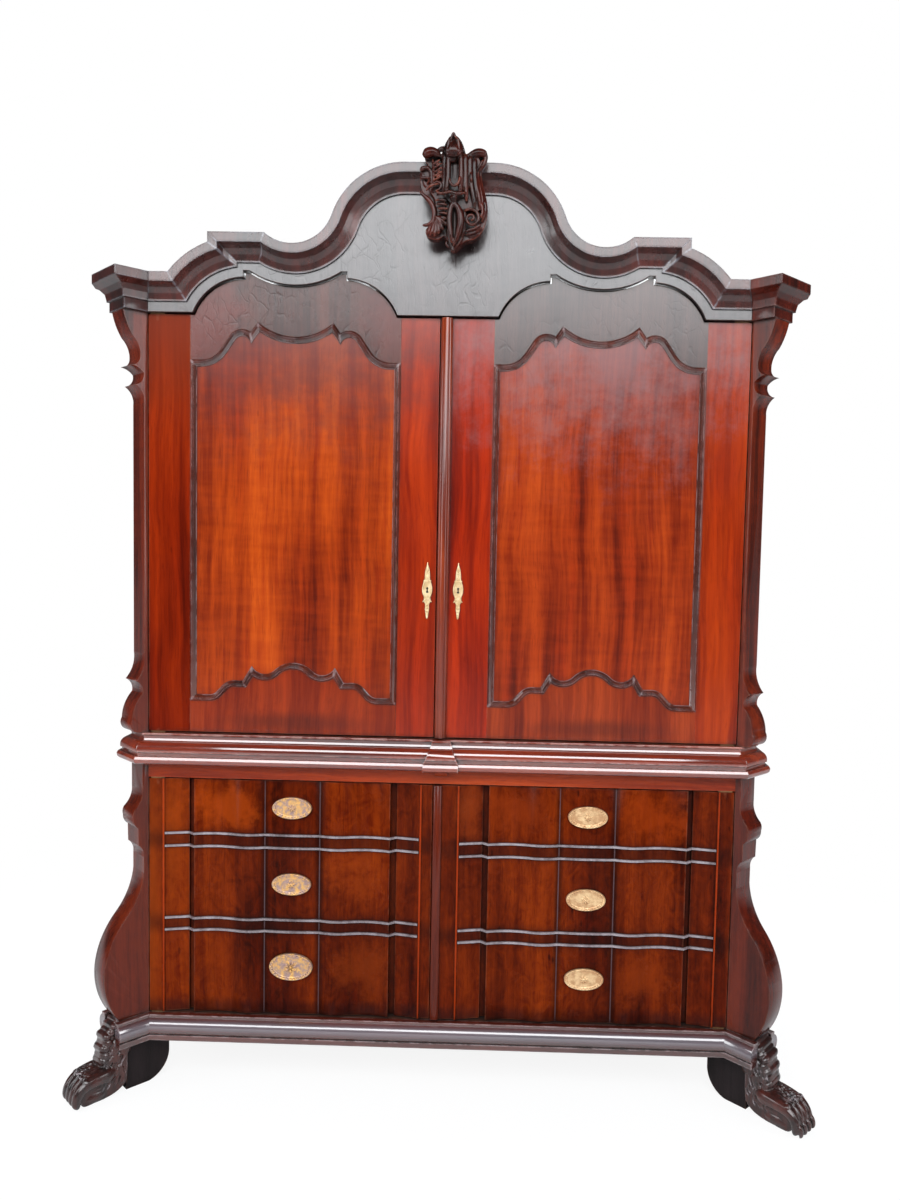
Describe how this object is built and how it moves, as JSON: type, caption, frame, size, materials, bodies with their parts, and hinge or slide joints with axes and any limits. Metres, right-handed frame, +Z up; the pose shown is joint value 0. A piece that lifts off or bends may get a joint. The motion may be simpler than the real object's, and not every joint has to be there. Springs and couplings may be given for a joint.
{
  "type": "kas cupboard",
  "caption": "Baroque kas: a two-stage mahogany cupboard with arched panelled doors above, serpentine doors below, a scrolled cornice with a carved crest, and paw feet.",
  "frame": {"origin": "middle of the footprint at floor level: the bottom centre of the bounding box", "axes": "+Z up, -Y out of the front with the doors, +X to the right of someone facing the front"},
  "size_m": [1.8222, 0.6491, 2.297],
  "materials": {
    "mahogany": "polished",
    "dark_wood": "polished",
    "carcass_wood": "matte",
    "brass": "satin",
    "iron": "matte"
  },
  "bodies": {
    "root": {"base_moulding_front": "mahogany", "base_moulding_sides": "mahogany", "case_hinge_plates": "brass", "cornice_front": "mahogany", "cornice_left": "mahogany", "cornice_right": "mahogany", "crest": "dark_wood", "foot_block_left": "dark_wood", "foot_block_right": "dark_wood", "frieze_board": "mahogany", "frieze_rail": "mahogany", "lower_back_panel": "carcass_wood", "lower_bottom_board": "carcass_wood", "lower_console_left": "mahogany", "lower_console_right": "mahogany", "lower_shelf": "carcass_wood", "lower_side_left": "mahogany", "lower_side_right": "mahogany", "lower_top_board": "carcass_wood", "paw_foot_left": "dark_wood", "paw_foot_right": "dark_wood", "rear_feet": "carcass_wood", "upper_back_panel": "carcass_wood", "upper_bottom_board": "carcass_wood", "upper_console_left": "mahogany", "upper_console_right": "mahogany", "upper_shelf_high": "carcass_wood", "upper_shelf_low": "carcass_wood", "upper_side_left": "mahogany", "upper_side_right": "mahogany", "upper_top_board": "carcass_wood", "waist_keystone": "mahogany", "waist_moulding": "mahogany"},
    "lower_door_left": {"lower_door_left_cock_beads": "mahogany", "lower_door_left_front": "mahogany", "lower_door_left_hinge_plates": "brass", "lower_door_left_plates": "brass"},
    "lower_door_right": {"lower_door_right_astragal": "mahogany", "lower_door_right_cock_beads": "mahogany", "lower_door_right_front": "mahogany", "lower_door_right_hinge_plates": "brass", "lower_door_right_plates": "brass"},
    "upper_door_left": {"upper_door_left_bottom_rail": "mahogany", "upper_door_left_escutcheon": "brass", "upper_door_left_hinge_plates": "brass", "upper_door_left_hinge_stile": "mahogany", "upper_door_left_lock_stile": "mahogany", "upper_door_left_panel": "mahogany", "upper_door_left_panel_moulding": "mahogany", "upper_door_left_top_rail": "mahogany"},
    "upper_door_right": {"upper_door_right_astragal": "mahogany", "upper_door_right_bottom_rail": "mahogany", "upper_door_right_escutcheon": "brass", "upper_door_right_hinge_plates": "brass", "upper_door_right_hinge_stile": "mahogany", "upper_door_right_lock": "iron", "upper_door_right_lock_stile": "mahogany", "upper_door_right_panel": "mahogany", "upper_door_right_panel_moulding": "mahogany", "upper_door_right_top_rail": "mahogany"}
  },
  "joints": [
    {"name": "upper_door_left_hinge", "type": "hinge", "parent": "root", "child": "upper_door_left", "pos_m": [-0.694, -0.1673, 1.399], "axis": [0, 0, -1], "range_deg": [0, 110]},
    {"name": "upper_door_right_hinge", "type": "hinge", "parent": "root", "child": "upper_door_right", "pos_m": [0.694, -0.1673, 1.399], "axis": [0, 0, 1], "range_deg": [0, 110]},
    {"name": "lower_door_left_hinge", "type": "hinge", "parent": "root", "child": "lower_door_left", "pos_m": [-0.694, -0.1673, 0.485], "axis": [0, 0, -1], "range_deg": [0, 110]},
    {"name": "lower_door_right_hinge", "type": "hinge", "parent": "root", "child": "lower_door_right", "pos_m": [0.694, -0.1673, 0.485], "axis": [0, 0, 1], "range_deg": [0, 110]}
  ]
}
